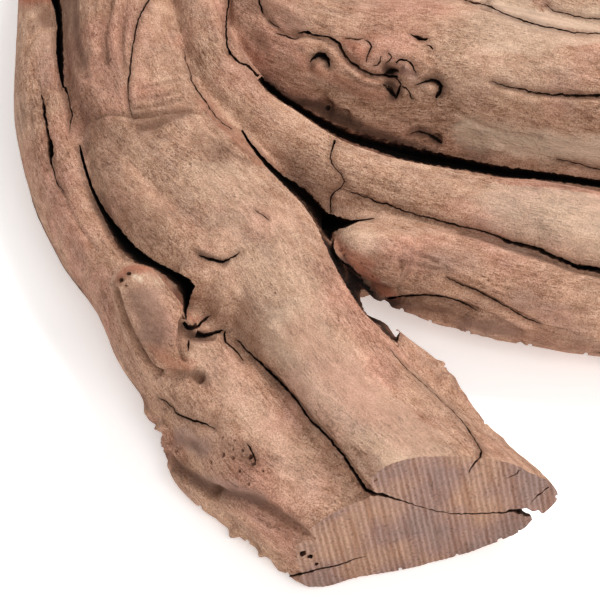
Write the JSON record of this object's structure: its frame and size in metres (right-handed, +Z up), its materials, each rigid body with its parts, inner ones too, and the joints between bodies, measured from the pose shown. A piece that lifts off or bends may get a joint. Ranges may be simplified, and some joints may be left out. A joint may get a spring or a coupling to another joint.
{
  "type": "manzanita branch",
  "caption": "Sandblasted manzanita branch in bare tan wood, sawn across its thick foot, with deep weathered cracks and forked tapering limbs, lying on a flat surface.",
  "frame": {"origin": "middle of the branch's footprint, on the surface that it rests on", "axes": "+Z up, +X towards the tips of the side limbs, -Y towards the sawn foot"},
  "size_m": [0.4201, 0.4188, 0.0907],
  "materials": {
    "manzanita_wood": "sandblasted bare weathered wood, dry and matt"
  },
  "bodies": {
    "root": {"manzanita_branch": "manzanita_wood"}
  },
  "joints": []
}
